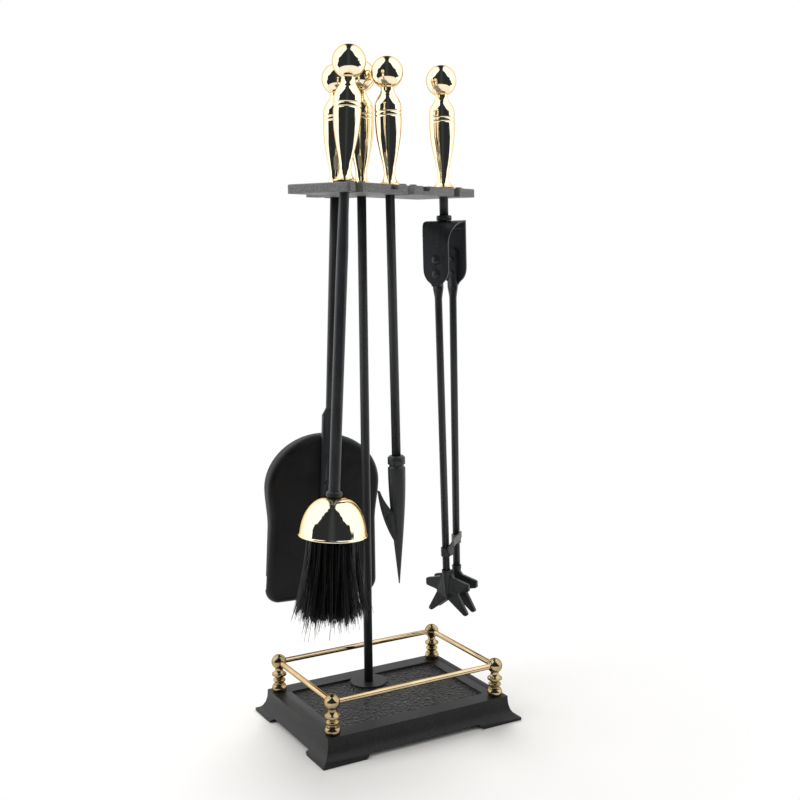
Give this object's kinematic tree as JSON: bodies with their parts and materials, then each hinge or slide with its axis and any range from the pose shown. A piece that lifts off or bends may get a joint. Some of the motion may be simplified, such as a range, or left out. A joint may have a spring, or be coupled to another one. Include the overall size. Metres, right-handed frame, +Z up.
{
  "type": "fireplace tool set",
  "caption": "Fireside tool set: brush, shovel, poker and spring tongs hang by ball-ended brass handles from a slotted rack on a post, over a flared base with a brass gallery rail.",
  "frame": {"origin": "on the floor under the centre of the base", "axes": "+Z up along the post, -Y to the front, +X to the right seen from the front; the long side of the base lies along X"},
  "size_m": [0.2519, 0.1873, 0.6818],
  "materials": {
    "cast_black": "satin black cast",
    "black_bar": "satin black",
    "brass": "polished",
    "steel": "blackened",
    "wood": "turned, hidden in the bell",
    "bristle": "stiff black hair"
  },
  "bodies": {
    "stand": {"base_casting": "cast_black", "centre_post": "black_bar", "gallery_post_front_left": "brass", "gallery_post_front_right": "brass", "gallery_post_rear_left": "brass", "gallery_post_rear_right": "brass", "gallery_rail_front": "brass", "gallery_rail_left": "brass", "gallery_rail_rear": "brass", "gallery_rail_right": "brass", "post_handle": "brass", "post_nut": "steel", "tool_rack": "cast_black"},
    "brush": {"brush_bell": "brass", "brush_block": "wood", "brush_bristles": "bristle", "brush_collar": "black_bar", "brush_handle": "brass", "brush_rod": "black_bar"},
    "shovel": {"shovel_blade": "black_bar", "shovel_handle": "brass", "shovel_rivet_lower": "steel", "shovel_rivet_upper": "steel", "shovel_rod": "black_bar"},
    "poker": {"poker_handle": "brass", "poker_head": "black_bar", "poker_rod": "black_bar"},
    "tongs": {"tongs_handle": "brass", "tongs_rod": "black_bar", "tongs_hub": "black_bar", "tongs_bow": "black_bar"},
    "tongs_left_arm": {"tongs_left_arm": "black_bar", "tongs_left_band": "black_bar", "tongs_left_claw": "black_bar", "tongs_left_leg": "black_bar", "tongs_left_rivet_lower": "steel", "tongs_left_rivet_upper": "steel"},
    "tongs_right_arm": {"tongs_right_arm": "black_bar", "tongs_right_band": "black_bar", "tongs_right_claw": "black_bar", "tongs_right_leg": "black_bar", "tongs_right_rivet_lower": "steel", "tongs_right_rivet_upper": "steel"}
  },
  "joints": [
    {"name": "brush_lift", "type": "slide", "parent": "stand", "child": "brush", "axis": [0.0576, 0, 0.9983], "range_m": [0, 0.012]},
    {"name": "shovel_lift", "type": "slide", "parent": "stand", "child": "shovel", "axis": [0.0436, 0, 0.999], "range_m": [0, 0.012]},
    {"name": "poker_lift", "type": "slide", "parent": "stand", "child": "poker", "axis": [-0.0148, 0, 0.9999], "range_m": [0, 0.012]},
    {"name": "tongs_lift", "type": "slide", "parent": "stand", "child": "tongs", "axis": [-0.0192, 0, 0.9998], "range_m": [0, 0.012]},
    {"name": "tongs_left_close", "type": "hinge", "parent": "tongs", "child": "tongs_left_arm", "pos_m": [0.08121, 0.02783, 0.51083], "axis": [0.4226, -0.9063, 0.0081], "range_deg": [0, 0.7], "stiffness_Nm_per_rad": 60},
    {"name": "tongs_right_close", "type": "hinge", "parent": "tongs", "child": "tongs_right_arm", "pos_m": [0.11256, 0.04245, 0.51143], "axis": [-0.4226, 0.9063, -0.0081], "range_deg": [0, 0.7], "stiffness_Nm_per_rad": 60}
  ],
  "couplings": [
    {"joint": "tongs_right_close", "follows": "tongs_left_close", "ratio": 1}
  ]
}
